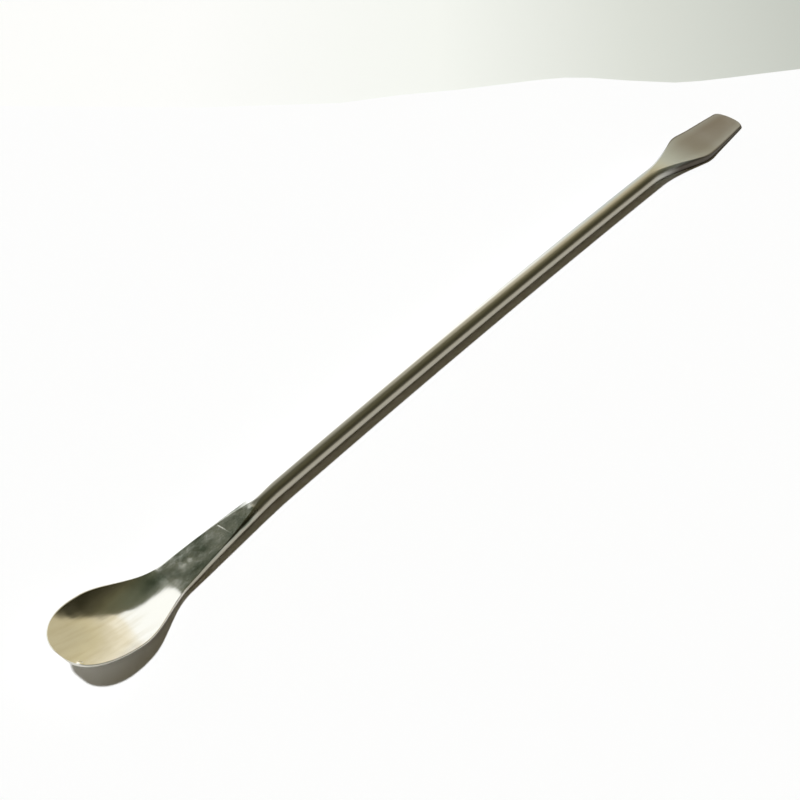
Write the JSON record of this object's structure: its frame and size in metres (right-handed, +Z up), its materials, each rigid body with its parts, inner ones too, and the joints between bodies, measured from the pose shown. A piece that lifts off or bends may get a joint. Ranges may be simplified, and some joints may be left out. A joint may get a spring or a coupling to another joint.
{
  "type": "lab spatula",
  "caption": "Double-ended lab spatula: a round rod with a shallow oval spoon bowl on a flattened neck at one end and a small tapered flat blade at the other.",
  "frame": {"origin": "centre of the bounding box's bottom, on the bench that the tool lies on", "axes": "+X along the tool from the spoon bowl towards the flat blade, +Z up out of the bench, +Y across, towards the side that the rod bows to"},
  "size_m": [0.24, 0.0172, 0.0083],
  "materials": {
    "steel": "forged and polished stainless steel, worn by handling, with fine drawn and brushed marks"
  },
  "bodies": {
    "root": {"spatula": "steel"}
  },
  "joints": []
}
